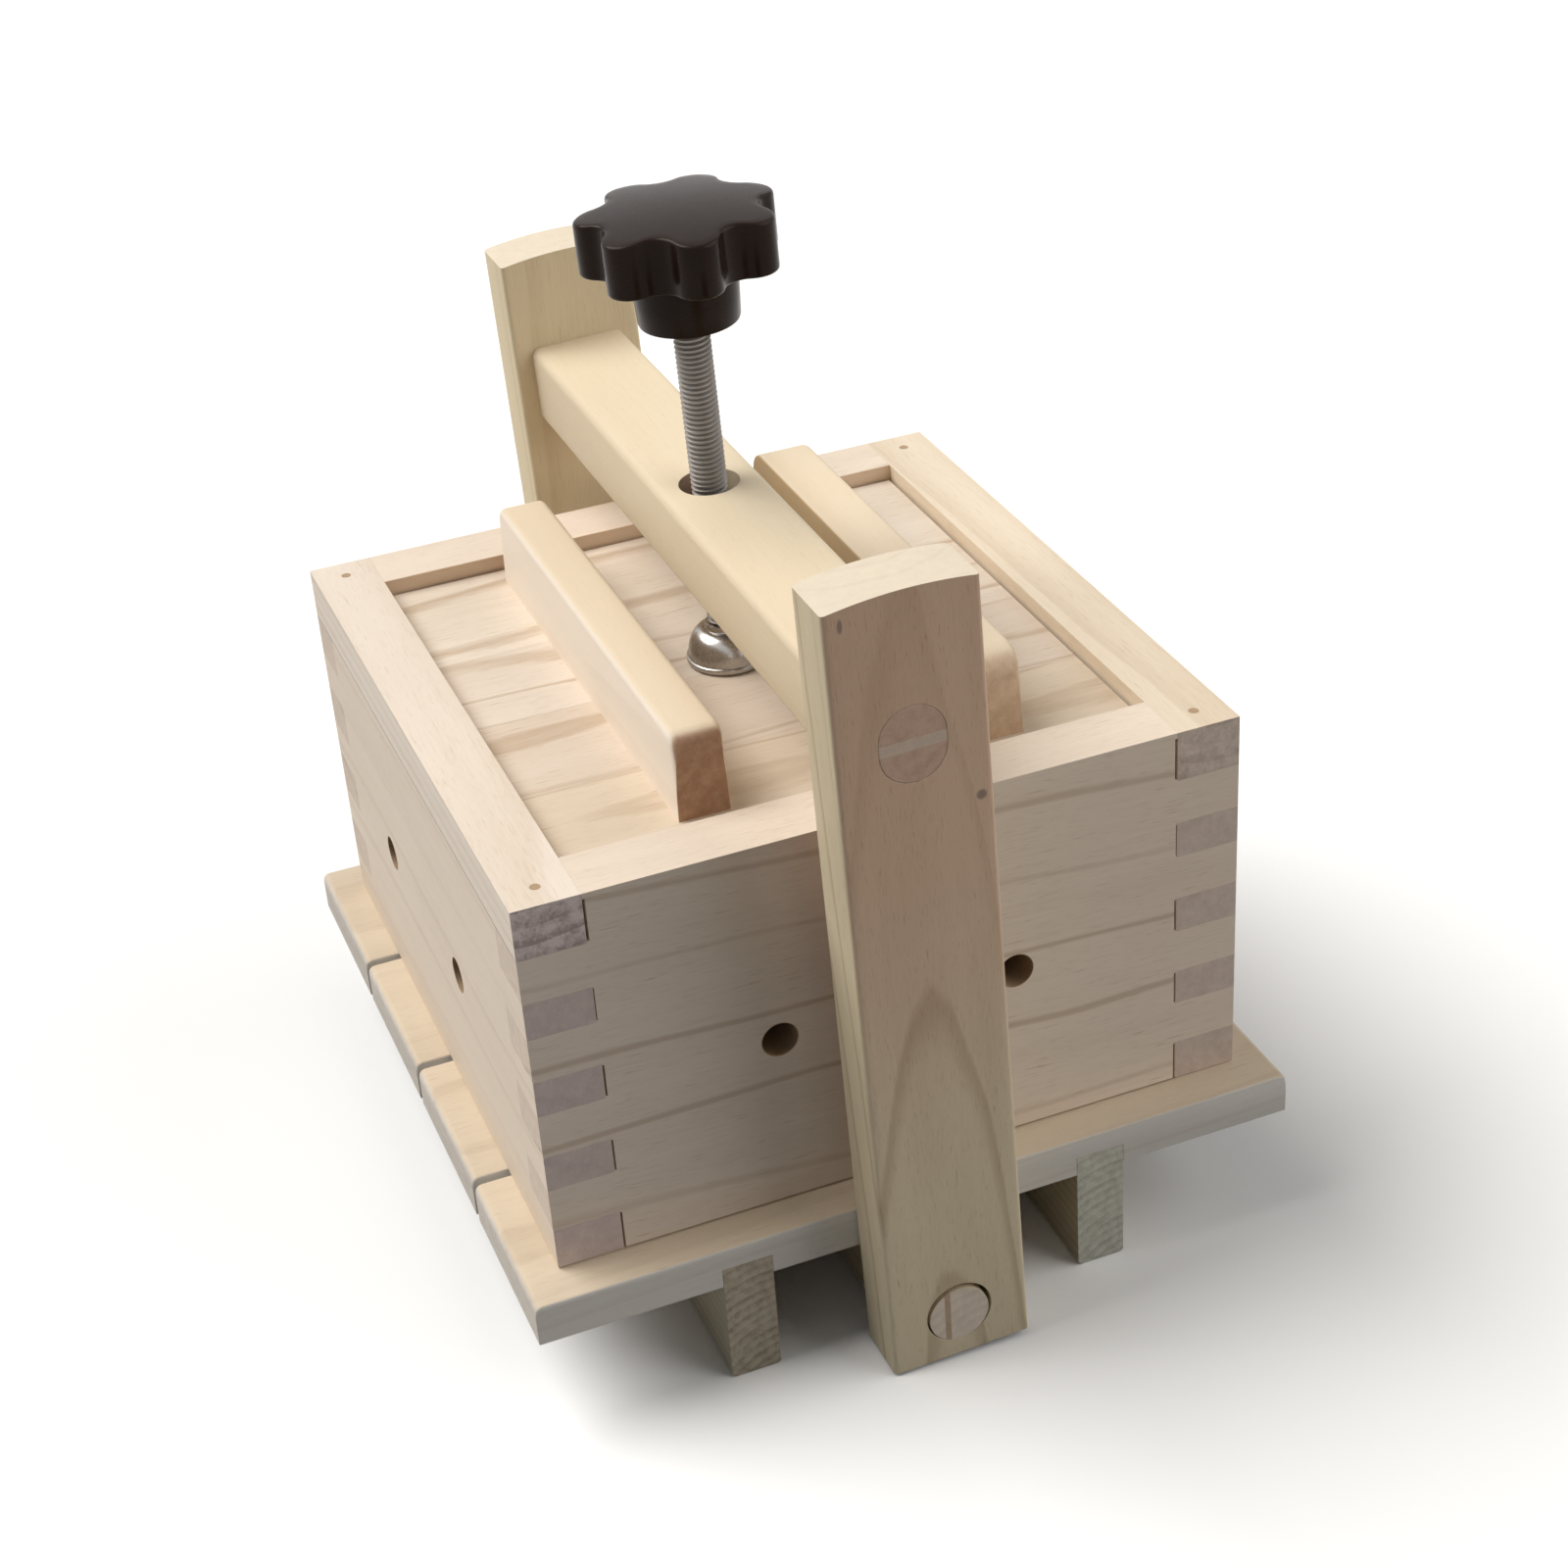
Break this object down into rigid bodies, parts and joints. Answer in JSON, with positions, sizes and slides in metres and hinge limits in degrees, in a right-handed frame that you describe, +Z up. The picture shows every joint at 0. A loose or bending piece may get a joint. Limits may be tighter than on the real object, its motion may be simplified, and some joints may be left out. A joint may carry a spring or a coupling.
{
  "type": "ham press",
  "caption": "Wooden screw press: finger-jointed box on a slatted base, drop-in pressing plate with batten handles, and a hinged yoke with a knob-topped screw.",
  "frame": {"origin": "on the ground, under the middle of the base's footprint", "axes": "+X to the right along the front, +Y from front to back, +Z up"},
  "size_m": [0.265, 0.3206, 0.3433],
  "materials": {
    "box_wood": "planed pale wood, lightly oiled",
    "base_wood": "planed pale wood, lightly oiled",
    "yoke_wood": "planed pale wood, lightly oiled",
    "plate_wood": "planed pale wood, lightly oiled",
    "batten_wood": "planed pale wood with rounded ends",
    "wedge_wood": "darker wood, cut flush",
    "pin_wood": "dowel, cut flush",
    "screw_steel": "stainless threaded rod",
    "foot_steel": "polished steel",
    "fastener_steel": "plain steel",
    "knob_plastic": "glossy black"
  },
  "bodies": {
    "base": {"base_slat_1": "base_wood", "base_slat_2": "base_wood", "base_slat_3": "base_wood", "base_slat_4": "base_wood", "foot_left": "base_wood", "foot_right": "base_wood", "base_screws": "fastener_steel", "bottom_bar": "yoke_wood", "bar_wedge_front": "wedge_wood", "bar_wedge_back": "wedge_wood"},
    "yoke": {"front_upright": "yoke_wood", "back_upright": "yoke_wood", "top_beam": "yoke_wood", "beam_wedge_front": "wedge_wood", "beam_wedge_back": "wedge_wood", "beam_nut": "fastener_steel", "nut_screws": "fastener_steel"},
    "foot": {"pressure_foot": "foot_steel", "foot_retainer": "fastener_steel"},
    "screw": {"screw_rod": "screw_steel", "star_knob": "knob_plastic", "knob_insert": "fastener_steel"},
    "box": {"front_wall": "box_wood", "back_wall": "box_wood", "left_wall": "box_wood", "left_wall_strip": "box_wood", "right_wall": "box_wood", "right_wall_strip": "box_wood", "corner_pins": "pin_wood"},
    "plate": {"plate_board_1": "plate_wood", "plate_board_2": "plate_wood", "plate_board_3": "plate_wood", "plate_board_4": "plate_wood", "batten_left": "batten_wood", "batten_right": "batten_wood", "batten_screws": "fastener_steel"}
  },
  "joints": [
    {"name": "yoke_swing", "type": "hinge", "parent": "base", "child": "yoke", "pos_m": [0, 0, 0.019], "axis": [0, 1, 0], "range_deg": [-0.4, 4]},
    {"name": "screw_travel", "type": "slide", "parent": "yoke", "child": "foot", "axis": [-0.0314, 0, 0.9995], "range_m": [-0.05, 0]},
    {"name": "screw_turn", "type": "hinge", "parent": "foot", "child": "screw", "pos_m": [-0.00518, 0, 0.18372], "axis": [-0.0314, 0, 0.9995], "range_deg": [-10290, 0]},
    {"name": "plate_travel", "type": "slide", "parent": "base", "child": "plate", "axis": [0, 0, 1], "range_m": [-0.05, 0]},
    {"name": "box_lift", "type": "slide", "parent": "base", "child": "box", "axis": [0, 0, 1], "range_m": [0, 0.028]}
  ],
  "couplings": [
    {"joint": "screw_turn", "follows": "screw_travel", "rad_per_m": 3590.4},
    {"joint": "plate_travel", "follows": "screw_travel", "ratio": 0.99951}
  ]
}
